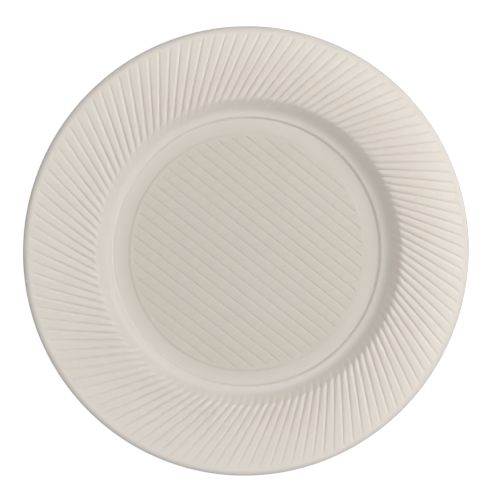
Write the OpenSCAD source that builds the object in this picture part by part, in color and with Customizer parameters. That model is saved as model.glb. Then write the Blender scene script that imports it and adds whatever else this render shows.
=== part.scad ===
// Disposable plastic plate, formed from one thin sheet.
// Millimetres, +Z up. The origin is on the plate's axis, level with the underside of the foot ring.
// The lattice is even about the X axis.

/* [Plate] */
// Outside diameter
plate_d = 220; // [180:1:260]
// Height from the foot ring's underside to the top of the rim
plate_h = 15; // [12:0.5:20]
// Thickness of the sheet
sheet_t = 0.5; // [0.4:0.05:0.6]

/* [Well] */
// Radial width of the foot ring, which lies between the floor and the wall
foot_w = 7; // [4:0.25:12]
// How far the floor stands above the foot ring
floor_raise = 0.4; // [0.2:0.05:0.6]
// Radial width of the slope between the floor and the foot ring
floor_slope_w = 0.8; // [0.6:0.1:1.4]
// Height of the crease that steps up just outside the foot ring
crease_h = 1; // [0.7:0.1:1.4]
// Radial width of that crease
crease_w = 0.5; // [0.4:0.05:0.8]
// Radius inside the small bends of the floor slope and the crease
small_bend_r = 0.2; // [0.1:0.05:0.3]

/* [Wall] */
// Radial width of the wall, from the foot ring to the shoulder
wall_w = 8; // [6.5:0.25:10]
// Slope of the wall's foot, in degrees from level
ramp_slope = 12; // [8:1:16]
// Slope of the wall, in degrees from level
wall_slope = 66; // [60:1:70]
// Radius of the hollow bend from the wall's foot into the wall
wall_bend_r = 4.5; // [2:0.25:5]
// Radius of the shoulder's bend
shoulder_bend_r = 2.5; // [1.5:0.25:3]

/* [Rim] */
// Radial width of the rim, from the shoulder to the edge
rim_w = 34; // [28:0.5:42]
// Slope of the rim beside the shoulder, in degrees from level
rim_in_slope = 12; // [10:0.5:14]
// Slope of the rim beside its edge, in degrees from level
rim_out_slope = 3.5; // [2.5:0.5:5]
// Radial width that keeps the slope beside the shoulder
rim_in_w = 1.5; // [1.4:0.1:6]
// Radial width that keeps the slope beside the edge
rim_out_w = 8.5; // [4:0.5:12]
// Radius of the edge where it turns down
lip_r = 2; // [1.2:0.1:2.4]
// Straight drop of the edge below that radius
lip_drop = 0.4; // [0.2:0.1:1]

/* [Ribs] */
// Number of grooves, which part the rim into as many ribs
rib_count = 120; // [60:4:124]
// Diameter of the circle that the line of every groove touches
swirl_d = 88.4; // [60:0.2:96]
// Angle between the two flanks of a groove, in degrees
groove_angle = 94; // [80:2:98]
// Depth of a groove beside the shoulder
groove_in_depth = 0.5; // [0.3:0.05:0.6]
// Distance from the shoulder to where that depth is measured
groove_in_run = 1.3; // [1:0.1:3]
// Width of the plain border between the grooves and the edge
border_w = 3.2; // [2.8:0.1:6]

/* [Lattice] */
// Distance between neighbouring grooves of the lattice
lattice_pitch = 5.3; // [4:0.1:12]
// Angle between the two families of grooves, in degrees
lattice_angle = 60; // [50:1:90]
// Width of a lattice groove
lattice_groove_w = 1.1; // [0.8:0.05:1.4]
// Depth of a lattice groove, which is pressed into the upper face only
lattice_groove_depth = 0.25; // [0.1:0.01:0.3]
// Width of the plain margin between the lattice and the end of the floor
lattice_margin = 1.2; // [0.8:0.1:6]

/* [Hidden] */
$fn = 180;

// How far a bend's facets may stray from its arc
bend_sag = 0.02;
// Lowest levels of the solids that the two faces of the sheet are cut from
upper_base_z = -1;
under_base_z = -2;
// How far a groove's cutter reaches past its two ends
groove_overrun = [3, 2.5];
// How far a lattice cutter stands above the face that it cuts
lattice_reach = 0.1;

plate_r = plate_d / 2;
shoulder_r = plate_r - rim_w;
foot_out_r = shoulder_r - wall_w;
foot_in_r = foot_out_r - foot_w;
swirl_r = swirl_d / 2;
foot_z = sheet_t;
floor_z = foot_z + floor_raise;
floor_r = foot_in_r - floor_slope_w;
crease_r = foot_out_r + crease_w;
crease_z = foot_z + crease_h;
lattice_r = floor_r - lattice_margin;

// The rim's two slopes, worked back from the edge, lead to the height of the shoulder
rim_bend_run = (rim_w - rim_in_w - rim_out_w) / 2;
rim_bend_r = plate_r - rim_out_w - rim_bend_run;
edge_corner_z = plate_h + lip_r * (tan(rim_out_slope) + 1 / cos(rim_out_slope) - 1);
rim_bend_z = edge_corner_z - (plate_r - rim_bend_r) * tan(rim_out_slope);
shoulder_z = rim_bend_z - (rim_bend_r - shoulder_r) * tan(rim_in_slope);
edge_z = plate_h - lip_r - lip_drop;

// Where the lines of the wall's foot and the wall meet
wall_rise = shoulder_z - crease_z - (shoulder_r - crease_r) * tan(ramp_slope);
ramp_r = shoulder_r - wall_rise / (tan(wall_slope) - tan(ramp_slope));
ramp_z = crease_z + (ramp_r - crease_r) * tan(ramp_slope);

// A bend over the top of the sheet is wider than one in a hollow by the sheet's own thickness
over_bend_r = small_bend_r + sheet_t;
// The hollow bend ends where the crease's bend begins, if the wall's foot is too short for its whole radius
crease_turn = atan2(crease_h, crease_w) - ramp_slope;
ramp_free = (ramp_r - crease_r) / cos(ramp_slope) - over_bend_r * tan(crease_turn / 2);
hollow_bend_r = min(wall_bend_r, ramp_free / tan((wall_slope - ramp_slope) / 2));

// Corners of the upper face from the axis to the edge, as radius and height, each with its bending radius
corners = [
    [[0, floor_z], 0],
    [[floor_r, floor_z], over_bend_r],
    [[foot_in_r, foot_z], small_bend_r],
    [[foot_out_r, foot_z], small_bend_r],
    [[crease_r, crease_z], over_bend_r],
    [[ramp_r, ramp_z], hollow_bend_r],
    [[shoulder_r, shoulder_z], shoulder_bend_r],
    [[rim_bend_r, rim_bend_z], rim_bend_run / tan((rim_in_slope - rim_out_slope) / 2)],
    [[plate_r, edge_corner_z], lip_r],
    [[plate_r, edge_z], 0]
];

function unit(v) = v / norm(v);
function turned(v, angle) = [v.x * cos(angle) - v.y * sin(angle), v.x * sin(angle) + v.y * cos(angle)];
function left_of(v) = [-v.y, v.x];

// Points of the arc that rounds one corner
function bend_points(before, corner, after, radius) =
    let (
        back = unit(before - corner),
        ahead = unit(after - corner),
        turn = 180 - acos(back * ahead),
        side = sign(cross(ahead, back)),
        centre = corner + unit(back + ahead) * radius / cos(turn / 2),
        start = corner + back * radius * tan(turn / 2),
        steps = ceil(turn / (2 * acos(1 - bend_sag / radius)))
    )
    [for (i = [0 : steps]) centre + turned(start - centre, side * turn * i / steps)];

// The whole upper face from the axis to the edge
upper_face = [
    for (i = [0 : len(corners) - 1])
        let (bend_r = corners[i][1])
        each bend_r == 0
            ? [corners[i][0]]
            : bend_points(corners[i - 1][0], corners[i][0], corners[i + 1][0], bend_r)
];

// The same line moved down, square to itself, by a given depth
function face_at(depth) = [
    for (i = [0 : len(upper_face) - 1])
        let (
            here = upper_face[i],
            before = i == 0 ? here - [1, 0] : upper_face[i - 1],
            after = i == len(upper_face) - 1 ? here - [0, 1] : upper_face[i + 1],
            normal_before = left_of(unit(here - before)),
            normal_after = left_of(unit(after - here)),
            normal = unit(normal_before + normal_after)
        )
        here - normal * depth / (normal * normal_before)
];

// The bottom line of a groove is straight: it leaves the shoulder below the surface
// and comes out at the plain border, and in plan it touches the swirl's circle
groove_in_r = shoulder_r + groove_in_run;
groove_out_r = plate_r - border_w;
groove_in = [sqrt(pow(groove_in_r, 2) - pow(swirl_r, 2)), lookup(groove_in_r, upper_face) - groove_in_depth];
groove_out = [sqrt(pow(groove_out_r, 2) - pow(swirl_r, 2)), lookup(groove_out_r, upper_face)];
groove_dir = unit(groove_out - groove_in);
groove_start = groove_in - groove_dir * groove_overrun[0];
groove_length = norm(groove_out - groove_in) + groove_overrun[0] + groove_overrun[1];
// The cutter stands as high above that line as the top of the rim does above its start
groove_reach = plate_h - groove_start.y;

// Cutter for one groove of the rim, with its flanks a given depth below those of the upper face
module rib_groove(depth) {
    half_w = groove_reach * tan(groove_angle / 2);
    drop = depth / sin(groove_angle / 2);
    translate([swirl_r, -groove_start.x, groove_start.y - drop])
        rotate([90 - atan2(groove_dir.y, groove_dir.x), 0, 0])
            linear_extrude(height = groove_length)
                polygon([[0, 0], [half_w, groove_reach], [-half_w, groove_reach]]);
}

// Cutter for one straight groove of the lattice, along X
module lattice_groove() {
    height = lattice_groove_depth + lattice_reach;
    half_w = lattice_groove_w / 2 * height / lattice_groove_depth;
    translate([-lattice_r, 0, floor_z - lattice_groove_depth])
        rotate([90, 0, 90])
            linear_extrude(height = 2 * lattice_r)
                polygon([[0, 0], [half_w, height], [-half_w, height]]);
}

// The two crossing families of lattice grooves, trimmed to a circle
module lattice() {
    rows = floor(lattice_r / lattice_pitch + 0.5);
    intersection() {
        for (side = [-1, 1])
            rotate([0, 0, side * lattice_angle / 2])
                for (i = [-rows : rows - 1])
                    translate([0, (i + 0.5) * lattice_pitch, 0])
                        lattice_groove();
        cylinder(h = plate_h, r = lattice_r);
    }
}

// Solid under the face that lies a given depth below the upper face
module under_face(depth, base_z) {
    face = face_at(depth);
    difference() {
        rotate_extrude()
            polygon(concat([[0, base_z]], face, [[plate_r - depth, base_z]]));
        for (i = [0 : rib_count - 1])
            rotate([0, 0, i * 360 / rib_count])
                rib_groove(depth);
    }
}

// Ring below the level at which the edge is cut off
module edge_trim() {
    translate([0, 0, under_base_z])
        difference() {
            cylinder(h = edge_z - under_base_z, r = plate_r + 1);
            translate([0, 0, -1])
                cylinder(h = edge_z - under_base_z + 2, r = plate_r - 2 * sheet_t);
        }
}

// The one piece of the plate: what lies between the two faces of the sheet
module plate() {
    color([0.87, 0.85, 0.81])
        difference() {
            under_face(0, upper_base_z);
            under_face(sheet_t, under_base_z);
            lattice();
            edge_trim();
        }
}

plate();
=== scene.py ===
import math

import bmesh
import bpy
from mathutils import Matrix, Vector


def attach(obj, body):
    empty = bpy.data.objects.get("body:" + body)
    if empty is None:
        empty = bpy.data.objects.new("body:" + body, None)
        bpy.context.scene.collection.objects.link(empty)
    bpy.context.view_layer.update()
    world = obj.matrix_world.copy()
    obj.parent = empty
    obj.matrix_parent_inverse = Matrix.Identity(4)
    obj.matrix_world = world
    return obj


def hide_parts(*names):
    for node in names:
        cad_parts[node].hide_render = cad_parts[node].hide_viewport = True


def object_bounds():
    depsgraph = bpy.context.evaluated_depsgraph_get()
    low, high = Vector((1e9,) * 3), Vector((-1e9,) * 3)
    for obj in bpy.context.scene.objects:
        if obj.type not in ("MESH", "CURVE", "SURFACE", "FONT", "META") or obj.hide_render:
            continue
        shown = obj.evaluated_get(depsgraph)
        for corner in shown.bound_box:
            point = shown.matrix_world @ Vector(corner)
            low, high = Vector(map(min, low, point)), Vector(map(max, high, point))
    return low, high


MM = 0.001

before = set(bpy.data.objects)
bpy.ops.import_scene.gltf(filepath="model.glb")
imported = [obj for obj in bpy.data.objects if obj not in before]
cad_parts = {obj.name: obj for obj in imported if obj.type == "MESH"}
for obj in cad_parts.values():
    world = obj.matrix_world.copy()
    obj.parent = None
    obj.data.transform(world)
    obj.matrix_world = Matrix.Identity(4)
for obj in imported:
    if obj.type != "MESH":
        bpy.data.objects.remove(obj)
cad_low, cad_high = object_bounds()

# The plate's own sizes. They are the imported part's, apart from a bolder crease and the gentle
# slope on which the edge's roll begins.
PLATE_R = -cad_low.x
PLATE_TOP = cad_high.z
SHEET_T = 0.5 * MM
RIM_W = 34 * MM
WALL_W = 8 * MM
FOOT_W = 7 * MM
FLOOR_RAISE = 0.4 * MM
FLOOR_SLOPE_W = 0.8 * MM
CREASE_W, CREASE_H = 0.75 * MM, 1.5 * MM
SMALL_BEND_R = 0.2 * MM
OVER_BEND_R = SMALL_BEND_R + SHEET_T
# The plain rings end and the ribs' copies begin this far up the wall's foot
RAMP_START_W = 0.55 * MM
WALL_BEND_R = 4.5 * MM
SHOULDER_BEND_R = 2.5 * MM
LIP_R = 2 * MM
LIP_START_W, LIP_START_R = 2.1 * MM, 3 * MM
LIP_SLOPE = math.radians(17)
EDGE_Z = 12.6 * MM
RIM_IN_W, RIM_OUT_W = 1.5 * MM, 8.5 * MM
RAMP_SLOPE = math.radians(12)
WALL_SLOPE = math.radians(66)
RIM_IN_SLOPE = math.radians(12)
RIM_OUT_SLOPE = math.radians(3.5)
# Faces round each bend of the section
FLOOR_END_STEPS, FOOT_IN_STEPS, FOOT_OUT_STEPS, CREASE_STEPS = 3, 2, 3, 4
WALL_STEPS, SHOULDER_STEPS, RIM_STEPS, LIP_START_STEPS, LIP_STEPS = 5, 5, 24, 2, 6

# Ribs: straight grooves whose lines touch one circle, so that they swirl
RIB_COUNT = 120
RIB_TURN = 2 * math.pi / RIB_COUNT
SWIRL_R = 44.2 * MM
RIB_COLUMNS = (0, 0.1, 0.2, 1 / 3, 0.5, 2 / 3, 0.8, 0.9, 1)
# Radii of a rib's rows of vertices on the rim, closer where a groove begins and ends
RIB_ROWS = [r * MM for r in (78.2, 80, 83, 87, 91, 95, 99, 102, 104.5, 105.6, 106.2, 106.6, 107)]
GROOVE_START_R, GROOVE_END_R, GROOVE_TIP_W = 74.4 * MM, 106.6 * MM, 0.8 * MM
# Radius, depth and half width of a groove from its inner end to its outer one
GROOVE_RUN = [(r * MM, depth * MM, half_w * MM) for r, depth, half_w in (
    (74.4, 0, 1.1), (75.6, 1.1, 1.25), (77.2, 1.15, 1.2),
    (80, 0.88, 0.95), (86, 0.76, 0.82), (106.6, 0.36, 0.72),
)]

# Lattice: two families of grooves in the floor, each with its direction across and its depth
LATTICE_PITCH = 5.3 * MM
LATTICE_TURNS = (-math.pi / 6, math.pi / 6)
LATTICE_ACROSS = [Vector((-math.sin(turn), math.cos(turn), 0)) for turn in LATTICE_TURNS]
LATTICE_R = 58.4 * MM
LATTICE_END_W = 0.6 * MM
# Depths pressed through both faces, and those added on the upper face only
LATTICE_DEPTHS = (0.33 * MM, 0.14 * MM)
LATTICE_THINNING = (0.07 * MM, 0)
# Distance from a groove's line, and the share of its depth there
LATTICE_GROOVE = ((0.2 * MM, 0.92), (0.55 * MM, 0.05), (0.85 * MM, 0.0))
LATTICE_WELD = 0.04 * MM
CUT_SLACK = 0.0001 * MM
# Radius at which the plain rings join the floor
HEM_R = 59.4 * MM
# The floor's upper face stands above this level everywhere, and its underside below it
FLOOR_MIDDLE_Z = 0.48 * MM
# Round the plain rings there are three faces to a rib
RIB_FACES = 3
PLAIN_SEGMENTS = RIB_FACES * RIB_COUNT

# Sheet colours by radius, with painted shade and light: darker in the well, a painted shade line
# where the floor ends, painted shade at the very edge, lighter on the outer rim
SHEET_COLOURS_WITH_PAINTED_SHADE = (
    (58 * MM, (0.712, 0.654, 0.572)),
    (59.4 * MM, (0.726, 0.665, 0.584)),
    # painted shade line where the floor ends
    (60.2 * MM, (0.697, 0.638, 0.561)),
    (61 * MM, (0.741, 0.678, 0.598)),
    (71 * MM, (0.838, 0.757, 0.684)),
    (82 * MM, (0.85, 0.747, 0.664)),
    # painted light on the outer rim
    (104 * MM, (0.97, 0.808, 0.706)),
    (106.8 * MM, (0.97, 0.808, 0.706)),
    # painted shade at the very edge
    (108.4 * MM, (0.735, 0.685, 0.635)),
)

# Steps in which a vertex is pressed down
PRESS_STEP = 0.002 * MM
# Vertices nearer to each other than this are made one
WELD = 0.005 * MM
# A vertex this near to a radius, or to a share of a rib's width, lies on it
SAME_R = 0.01 * MM
SAME_SHARE = 0.01
# Edges that turn by less than this are shaded smooth
SMOOTH_ANGLE = math.radians(50)

# The floor that the plate stands on
GROUND_SIZE = 6
GROUND_GAP = 0.02 * MM

# Lines of the upper face where slopes meet, as radius and height
shoulder_r = PLATE_R - RIM_W
foot_out_r = shoulder_r - WALL_W
foot_in_r = foot_out_r - FOOT_W
floor_r = foot_in_r - FLOOR_SLOPE_W
floor_z = SHEET_T + FLOOR_RAISE
crease_r, crease_z = foot_out_r + CREASE_W, SHEET_T + CREASE_H
rim_bend_r = PLATE_R - RIM_OUT_W - (RIM_W - RIM_IN_W - RIM_OUT_W) / 2
edge_corner_z = PLATE_TOP + LIP_R * (math.tan(RIM_OUT_SLOPE) + 1 / math.cos(RIM_OUT_SLOPE) - 1)
rim_bend_z = edge_corner_z - (PLATE_R - rim_bend_r) * math.tan(RIM_OUT_SLOPE)
shoulder_z = rim_bend_z - (rim_bend_r - shoulder_r) * math.tan(RIM_IN_SLOPE)
wall_rise = shoulder_z - crease_z - (shoulder_r - crease_r) * math.tan(RAMP_SLOPE)
ramp_r = shoulder_r - wall_rise / (math.tan(WALL_SLOPE) - math.tan(RAMP_SLOPE))
ramp_z = crease_z + (ramp_r - crease_r) * math.tan(RAMP_SLOPE)
rim_bend_radius = (RIM_W - RIM_IN_W - RIM_OUT_W) / 2 / math.tan((RIM_IN_SLOPE - RIM_OUT_SLOPE) / 2)
lip_start_z = edge_corner_z - LIP_START_W * math.tan(RIM_OUT_SLOPE)
lip_corner_z = lip_start_z - LIP_START_W * math.tan(LIP_SLOPE)


def bend(before, corner, after, radius, steps):
    """Points of the arc that rounds one corner of the section."""
    before, corner, after = Vector(before), Vector(corner), Vector(after)
    back, ahead = (before - corner).normalized(), (after - corner).normalized()
    turn = math.pi - back.angle(ahead)
    centre = corner + (back + ahead).normalized() * radius / math.cos(turn / 2)
    start = corner + back * radius * math.tan(turn / 2) - centre
    side = math.copysign(1, ahead.cross(back))
    return [centre + Matrix.Rotation(side * turn * i / steps, 2) @ start for i in range(steps + 1)]


def height_on(line, r):
    """Height of a section line at a radius."""
    for a, b in zip(line, line[1:]):
        if a.x <= r <= b.x and b.x > a.x:
            return a.y + (b.y - a.y) * (r - a.x) / (b.x - a.x)
    return line[-1].y


# Corners of the section from the floor to the edge
floor_end = (floor_r, floor_z)
foot_in = (foot_in_r, SHEET_T)
foot_out = (foot_out_r, SHEET_T)
crease = (crease_r, crease_z)
ramp = (ramp_r, ramp_z)
shoulder = (shoulder_r, shoulder_z)
rim_bend = (rim_bend_r, rim_bend_z)
lip_start = (PLATE_R - LIP_START_W, lip_start_z)
lip_corner = (PLATE_R, lip_corner_z)
edge = (PLATE_R, EDGE_Z)

wall_line = bend(crease, ramp, shoulder, WALL_BEND_R, WALL_STEPS)
shoulder_line = bend(ramp, shoulder, rim_bend, SHOULDER_BEND_R, SHOULDER_STEPS)
rim_line = bend(shoulder, rim_bend, lip_start, rim_bend_radius, RIM_STEPS)
lip_line = bend(rim_bend, lip_start, lip_corner, LIP_START_R, LIP_START_STEPS)
lip_line += bend(lip_start, lip_corner, edge, LIP_R, LIP_STEPS) + [Vector(edge)]
ramp_start = Vector((crease_r + RAMP_START_W, crease_z + RAMP_START_W * math.tan(RAMP_SLOPE)))

# Turn that brings the plain rings' vertices in line with the ribs' where the two meet
plain_phase = -math.acos(SWIRL_R / ramp_start.x)


def start_editing(obj):
    """Opens one object's mesh for editing."""
    bpy.context.view_layer.objects.active = obj
    obj.select_set(True)
    bpy.ops.object.mode_set(mode="EDIT")


def stop_editing():
    bpy.ops.object.mode_set(mode="OBJECT")


def pressed(obj, depth_at):
    """Moves each vertex down by the depth of its place, all vertices of one depth together."""
    mesh = bmesh.from_edit_mesh(obj.data)
    levels = {}
    for vert in mesh.verts:
        levels.setdefault(round(depth_at(vert.co) / PRESS_STEP), []).append(vert.index)
    levels.pop(0, None)
    for level, members in levels.items():
        bpy.ops.mesh.select_all(action="DESELECT")
        mesh.verts.ensure_lookup_table()
        for index in members:
            mesh.verts[index].select = True
        bpy.ops.transform.translate(value=(0, 0, -level * PRESS_STEP))


def added(name):
    """The object just made, given its name."""
    obj = bpy.context.object
    obj.name = obj.data.name = name
    return obj


def plain_circle(name, r, z, fill_type):
    """A level circle, as an edge or as a disc, whose vertices stand in line with the ribs'."""
    bpy.ops.mesh.primitive_circle_add(
        vertices=PLAIN_SEGMENTS,
        radius=r,
        fill_type=fill_type,
        location=(0, 0, z),
        rotation=(0, 0, plain_phase),
    )
    bpy.ops.object.transform_apply()
    return added(name)


def drawn_out(line):
    """Draws the selected edges out, row by row, along a section line."""
    for inner, outer in zip(line, line[1:]):
        bpy.ops.mesh.extrude_edges_move(TRANSFORM_OT_translate={"value": (0, 0, outer.y - inner.y)})
        grow = outer.x / inner.x
        bpy.ops.transform.resize(value=(grow, grow, 1), center_override=(0, 0, 0))


def rib_share(co):
    """Place across a rib, from 0 at one groove to 1 at the next."""
    return (math.atan2(co.y, co.x) + math.acos(SWIRL_R / co.xy.length)) / RIB_TURN % 1


def rib_groove_depth(co):
    """How far the rim is pressed down at a place: a straight groove with sloping flanks."""
    r = co.xy.length
    if not GROOVE_START_R < r < GROOVE_END_R:
        return 0
    for (r_in, depth_in, half_in), (r_out, depth_out, half_out) in zip(GROOVE_RUN, GROOVE_RUN[1:]):
        if r_in <= r <= r_out:
            share = (r - r_in) / (r_out - r_in)
            depth = depth_in + (depth_out - depth_in) * share
            half_w = half_in + (half_out - half_in) * share
    share = rib_share(co)
    off = min(share, 1 - share) * RIB_TURN * math.sqrt(r ** 2 - SWIRL_R ** 2)
    ending = min((GROOVE_END_R - r) / GROOVE_TIP_W, 1)
    return depth * max(1 - off / half_w, 0) * ending


def thinned_row(rib, r):
    """Slides one row's vertices together, so that a rib has as many faces there as a plain ring."""
    mesh = bmesh.from_edit_mesh(rib.data)
    for column in RIB_COLUMNS[1:-1]:
        bpy.ops.mesh.select_all(action="DESELECT")
        for vert in mesh.verts:
            in_row = abs(vert.co.xy.length - r) < SAME_R
            vert.select = in_row and abs(rib_share(vert.co) - column) < SAME_SHARE
        turn = (round(RIB_FACES * column) / RIB_FACES - column) * RIB_TURN
        bpy.ops.transform.rotate(value=-turn, orient_axis="Z", center_override=(0, 0, 0))
    bpy.ops.mesh.select_all(action="SELECT")
    bpy.ops.mesh.remove_doubles(threshold=WELD)


def rim_ribs():
    """One rib, from the wall's foot to the edge, pressed at its grooves, then copied all round."""
    rim_rows = [Vector((r, height_on(rim_line + lip_line, r))) for r in RIB_ROWS]
    line = [ramp_start] + wall_line + shoulder_line + rim_rows

    bpy.ops.mesh.primitive_plane_add(size=MM)
    rib = added("rim_ribs")
    start_editing(rib)
    bpy.ops.mesh.select_all(action="SELECT")
    bpy.ops.mesh.merge(type="CENTER")
    places = [Vector((SWIRL_R, -math.sqrt(p.x ** 2 - SWIRL_R ** 2), p.y)) for p in line]
    bpy.ops.transform.translate(value=places[0])
    for here, there in zip(places, places[1:]):
        bpy.ops.mesh.extrude_vertices_move(TRANSFORM_OT_translate={"value": there - here})
    bpy.ops.mesh.select_all(action="SELECT")
    for here, there in zip(RIB_COLUMNS, RIB_COLUMNS[1:]):
        turn = (there - here) * RIB_TURN
        bpy.ops.mesh.spin(steps=1, angle=turn, center=(0, 0, 0), axis=(0, 0, 1))
    pressed(rib, rib_groove_depth)
    thinned_row(rib, ramp_start.x)
    thinned_row(rib, rim_rows[-1].x)
    mesh = bmesh.from_edit_mesh(rib.data)
    bpy.ops.mesh.select_all(action="DESELECT")
    for vert in mesh.verts:
        vert.select = abs(vert.co.xy.length - rim_rows[-1].x) < SAME_R
    mesh.select_flush(True)
    drawn_out(rim_rows[-1:] + lip_line)
    bpy.ops.mesh.select_all(action="SELECT")
    copies = RIB_COUNT - 1
    bpy.ops.mesh.spin(
        steps=copies, angle=copies * RIB_TURN, dupli=True, center=(0, 0, 0), axis=(0, 0, 1)
    )
    bpy.ops.mesh.select_all(action="SELECT")
    bpy.ops.mesh.remove_doubles(threshold=WELD)
    stop_editing()
    return rib


def groove_share(off):
    """Share of its depth that a lattice groove has at a distance from its line."""
    (bottom, deepest), *flank = LATTICE_GROOVE
    for reach, press in flank:
        if off < reach:
            return press + (deepest - press) * min((reach - off) / (reach - bottom), 1)
        bottom, deepest = reach, press
    return 0


def lattice_depth(co, depths):
    """How far the floor is pressed down at a place: the deeper of the two families' grooves."""
    if co.z < FLOOR_MIDDLE_Z or co.xy.length > LATTICE_R + LATTICE_END_W:
        return 0
    rows = [co @ across / LATTICE_PITCH for across in LATTICE_ACROSS]
    offs = [abs(row % 1 - 0.5) * LATTICE_PITCH for row in rows]
    ending = min(max((LATTICE_R + LATTICE_END_W - co.xy.length) / LATTICE_END_W, 0), 1)
    return ending * max(depth * groove_share(off) for depth, off in zip(depths, offs))


def latticed_floor():
    """The floor's disc, cut along both families of grooves inside a plain hem and pressed there."""
    disc = plain_circle("latticed_floor", HEM_R, floor_z, "NGON")
    start_editing(disc)
    bpy.ops.mesh.select_mode(type="FACE")
    bpy.ops.mesh.select_all(action="SELECT")
    bpy.ops.mesh.inset(thickness=HEM_R - LATTICE_R - LATTICE_END_W)
    bpy.ops.mesh.hide(unselected=True)
    bpy.ops.mesh.inset(thickness=LATTICE_END_W)
    rows = round(LATTICE_R / LATTICE_PITCH)
    for across in LATTICE_ACROSS:
        for row in range(-rows, rows):
            for reach, _ in LATTICE_GROOVE:
                for side in (-1, 1):
                    cut = across * ((row + 0.5) * LATTICE_PITCH + side * reach)
                    bpy.ops.mesh.select_all(action="SELECT")
                    bpy.ops.mesh.bisect(plane_co=cut, plane_no=across, threshold=CUT_SLACK)
    bpy.ops.mesh.reveal(select=False)
    bpy.ops.mesh.select_mode(type="VERT")
    bpy.ops.mesh.select_all(action="SELECT")
    bpy.ops.mesh.remove_doubles(threshold=LATTICE_WELD)
    pressed(disc, lambda co: lattice_depth(co, LATTICE_DEPTHS))
    stop_editing()
    return disc


def joined(pieces, name):
    """Several pieces made one."""
    bpy.ops.object.select_all(action="DESELECT")
    for piece in pieces:
        piece.select_set(True)
    bpy.context.view_layer.objects.active = pieces[0]
    bpy.ops.object.join()
    return added(name)


def well_ring():
    """Hem of the floor, the floor's slope, the foot ring and the crease."""
    line = [Vector((HEM_R, floor_z))]
    line += bend((0, floor_z), floor_end, foot_in, OVER_BEND_R, FLOOR_END_STEPS)
    line += bend(floor_end, foot_in, foot_out, SMALL_BEND_R, FOOT_IN_STEPS)
    line += bend(foot_in, foot_out, crease, SMALL_BEND_R, FOOT_OUT_STEPS)
    line += bend(foot_out, crease, ramp, OVER_BEND_R, CREASE_STEPS)
    line += [ramp_start]
    ring = plain_circle("well_ring", line[0].x, line[0].y, "NOTHING")
    start_editing(ring)
    bpy.ops.mesh.select_all(action="SELECT")
    drawn_out(line)
    stop_editing()
    return ring


def plate_sheet():
    """The whole sheet: floor, foot ring, crease, wall, ribbed rim and the edge that turns down."""
    sheet = joined([latticed_floor(), well_ring(), rim_ribs()], "plate_sheet")
    start_editing(sheet)
    bpy.ops.mesh.select_all(action="SELECT")
    bpy.ops.mesh.remove_doubles(threshold=WELD)
    bpy.ops.mesh.normals_make_consistent(inside=False)
    stop_editing()
    if sheet.data.polygons[0].normal.z < 0:
        start_editing(sheet)
        bpy.ops.mesh.select_all(action="SELECT")
        bpy.ops.mesh.flip_normals()
        stop_editing()
    thickness = sheet.modifiers.new("sheet thickness", "SOLIDIFY")
    thickness.thickness = SHEET_T
    thickness.offset = -1
    thickness.use_even_offset = True
    bpy.ops.object.modifier_apply(modifier=thickness.name)
    start_editing(sheet)
    bpy.ops.mesh.select_mode(type="VERT")
    pressed(sheet, lambda co: lattice_depth(co, LATTICE_THINNING))
    stop_editing()
    bpy.ops.object.shade_smooth_by_angle(angle=SMOOTH_ANGLE)
    return sheet


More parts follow.
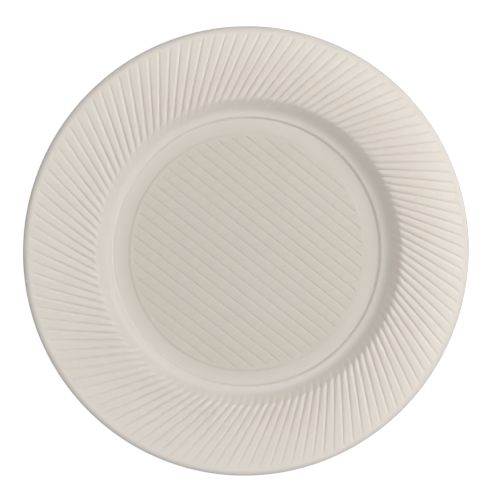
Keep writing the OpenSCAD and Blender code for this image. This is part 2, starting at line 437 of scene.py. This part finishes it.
def formed_plastic():
    """Off-white plastic with a soft gloss, its colour painted with shade and light by radius."""
    material = bpy.data.materials.new("formed_plastic")
    material.use_nodes = True
    nodes, links = material.node_tree.nodes, material.node_tree.links
    shader = nodes["Principled BSDF"]
    shader.inputs["IOR"].default_value = 1.5
    shader.inputs["Subsurface Weight"].default_value = 1
    shader.inputs["Subsurface Scale"].default_value = 1.3 * MM
    shader.inputs["Subsurface Radius"].default_value = (1, 0.95, 0.9)
    where = nodes.new("ShaderNodeTexCoord")

    cloud = nodes.new("ShaderNodeTexNoise")
    cloud.inputs["Scale"].default_value = 22
    cloud.inputs["Detail"].default_value = 3
    cloud_tint = nodes.new("ShaderNodeMapRange")
    cloud_tint.inputs["To Min"].default_value = 0.97
    cloud_tint.inputs["To Max"].default_value = 1.03
    links.new(where.outputs["Object"], cloud.inputs["Vector"])
    links.new(cloud.outputs["Fac"], cloud_tint.inputs["Value"])

    level = nodes.new("ShaderNodeVectorMath")
    level.operation = "MULTIPLY"
    level.inputs[1].default_value = (1 / PLATE_R, 1 / PLATE_R, 0)
    out_from_axis = nodes.new("ShaderNodeVectorMath")
    out_from_axis.operation = "LENGTH"
    # The sheet's colour by radius, with painted shade in the well, at the floor's end and at the
    # edge, and painted light on the outer rim
    painted_shade_and_light = nodes.new("ShaderNodeValToRGB")
    stops = painted_shade_and_light.color_ramp.elements
    stops.remove(stops[1])
    for i, (r, colour) in enumerate(SHEET_COLOURS_WITH_PAINTED_SHADE):
        stop = stops[0] if i == 0 else stops.new(r / PLATE_R)
        stop.position = r / PLATE_R
        stop.color = (*colour, 1)
    clouded_colour_and_shade = nodes.new("ShaderNodeVectorMath")
    clouded_colour_and_shade.operation = "SCALE"
    links.new(where.outputs["Object"], level.inputs[0])
    links.new(level.outputs["Vector"], out_from_axis.inputs[0])
    links.new(out_from_axis.outputs["Value"], painted_shade_and_light.inputs["Fac"])
    links.new(painted_shade_and_light.outputs["Color"], clouded_colour_and_shade.inputs[0])
    links.new(cloud_tint.outputs["Result"], clouded_colour_and_shade.inputs["Scale"])
    links.new(clouded_colour_and_shade.outputs["Vector"], shader.inputs["Base Color"])

    rub = nodes.new("ShaderNodeTexNoise")
    rub.inputs["Scale"].default_value = 260
    rub.inputs["Detail"].default_value = 4
    gloss = nodes.new("ShaderNodeMapRange")
    gloss.inputs["To Min"].default_value = 0.34
    gloss.inputs["To Max"].default_value = 0.5
    links.new(where.outputs["Object"], rub.inputs["Vector"])
    links.new(rub.outputs["Fac"], gloss.inputs["Value"])
    links.new(gloss.outputs["Result"], shader.inputs["Roughness"])

    ripple = nodes.new("ShaderNodeTexNoise")
    ripple.inputs["Scale"].default_value = 500
    ripple.inputs["Detail"].default_value = 3
    bump = nodes.new("ShaderNodeBump")
    bump.inputs["Strength"].default_value = 0.35
    bump.inputs["Distance"].default_value = 0.03 * MM
    links.new(where.outputs["Object"], ripple.inputs["Vector"])
    links.new(ripple.outputs["Fac"], bump.inputs["Height"])
    links.new(bump.outputs["Normal"], shader.inputs["Normal"])
    return material


def white_floor():
    """A floor that shows white to the camera and keeps the plate's shadow."""
    material = bpy.data.materials.new("white_floor")
    material.use_nodes = True
    nodes, links = material.node_tree.nodes, material.node_tree.links
    nodes.clear()
    out = nodes.new("ShaderNodeOutputMaterial")
    matt = nodes.new("ShaderNodeBsdfDiffuse")
    matt.inputs["Color"].default_value = (0.35, 0.35, 0.35, 1)
    glow = nodes.new("ShaderNodeEmission")
    rays = nodes.new("ShaderNodeLightPath")
    seen = nodes.new("ShaderNodeMath")
    seen.operation = "MULTIPLY"
    seen.inputs[1].default_value = 0.85
    both = nodes.new("ShaderNodeAddShader")
    links.new(rays.outputs["Is Camera Ray"], seen.inputs[0])
    links.new(seen.outputs["Value"], glow.inputs["Strength"])
    links.new(matt.outputs["BSDF"], both.inputs[0])
    links.new(glow.outputs["Emission"], both.inputs[1])
    links.new(both.outputs["Shader"], out.inputs["Surface"])
    return material


def studio_world(low, high, azimuth):
    """Soft light from all round, stronger from one side, and a white backdrop."""
    world = bpy.data.worlds.new("studio")
    bpy.context.scene.world = world
    world.use_nodes = True
    nodes, links = world.node_tree.nodes, world.node_tree.links
    nodes.clear()
    out = nodes.new("ShaderNodeOutputWorld")
    where = nodes.new("ShaderNodeTexCoord")
    toward = nodes.new("ShaderNodeVectorMath")
    toward.operation = "DOT_PRODUCT"
    a = math.radians(azimuth)
    toward.inputs[1].default_value = (math.cos(a), math.sin(a), 0)
    strength = nodes.new("ShaderNodeMapRange")
    strength.inputs["From Min"].default_value = -1
    strength.inputs["To Min"].default_value = low
    strength.inputs["To Max"].default_value = high
    light = nodes.new("ShaderNodeBackground")
    light.inputs["Color"].default_value = (1, 1, 1, 1)
    white = nodes.new("ShaderNodeBackground")
    white.inputs["Color"].default_value = (1, 1, 1, 1)
    rays = nodes.new("ShaderNodeLightPath")
    seen = nodes.new("ShaderNodeMath")
    seen.operation = "MAXIMUM"
    seen_at_all = nodes.new("ShaderNodeMath")
    seen_at_all.operation = "MAXIMUM"
    mix = nodes.new("ShaderNodeMixShader")
    links.new(where.outputs["Generated"], toward.inputs[0])
    links.new(toward.outputs["Value"], strength.inputs["Value"])
    links.new(strength.outputs["Result"], light.inputs["Strength"])
    links.new(rays.outputs["Is Camera Ray"], seen.inputs[0])
    links.new(rays.outputs["Is Glossy Ray"], seen.inputs[1])
    links.new(seen.outputs["Value"], seen_at_all.inputs[0])
    links.new(rays.outputs["Is Transmission Ray"], seen_at_all.inputs[1])
    links.new(seen_at_all.outputs["Value"], mix.inputs["Fac"])
    links.new(light.outputs["Background"], mix.inputs[1])
    links.new(white.outputs["Background"], mix.inputs[2])
    links.new(mix.outputs["Shader"], out.inputs["Surface"])


def soft_lamp(name, azimuth, elevation, distance, size, power):
    """A square soft lamp that faces the plate."""
    data = bpy.data.lights.new(name, "AREA")
    data.size = size
    data.energy = power
    lamp = bpy.data.objects.new(name, data)
    bpy.context.scene.collection.objects.link(lamp)
    a, e = math.radians(azimuth), math.radians(elevation)
    toward = Vector((math.cos(a) * math.cos(e), math.sin(a) * math.cos(e), math.sin(e)))
    lamp.location = distance * toward
    lamp.rotation_mode = "QUATERNION"
    lamp.rotation_quaternion = lamp.location.to_track_quat("Z", "Y")


def photo_camera():
    """The photograph's view: from almost straight above, framed a little to one side."""
    place = Vector((-49.06, 9.35, 320.16)) * MM
    aim = Vector((-19.94, 0.93, 13)) * MM
    roll = math.radians(8.2)
    up = Vector((-math.sin(roll), math.cos(roll), 0))
    data = bpy.data.cameras.new("photo_camera")
    data.lens = 45.69
    data.sensor_width = 36
    data.shift_x = 0.067
    data.shift_y = -0.007
    camera = bpy.data.objects.new("photo_camera", data)
    bpy.context.scene.collection.objects.link(camera)
    back = (place - aim).normalized()
    right = up.cross(back).normalized()
    turn = Matrix((right, back.cross(right), back)).transposed()
    camera.matrix_world = Matrix.Translation(place) @ turn.to_4x4()
    bpy.context.scene.camera = camera


bpy.ops.object.select_all(action="DESELECT")

photo_camera()
sheet = plate_sheet()
sheet.data.materials.append(formed_plastic())
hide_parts("plate")
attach(sheet, "root")

bpy.ops.object.select_all(action="DESELECT")
bpy.ops.mesh.primitive_plane_add(size=GROUND_SIZE, location=(0, 0, cad_low.z - GROUND_GAP))
bpy.ops.object.transform_apply()
ground = added("ground")
ground.data.materials.append(white_floor())

studio_world(low=0.24, high=0.56, azimuth=20)
soft_lamp("top_lamp", azimuth=0, elevation=90, distance=0.75, size=1.2, power=3.1)
soft_lamp("key_lamp", azimuth=26, elevation=42, distance=0.5, size=0.32, power=0.74)
bpy.context.scene.view_settings.view_transform = "Standard"
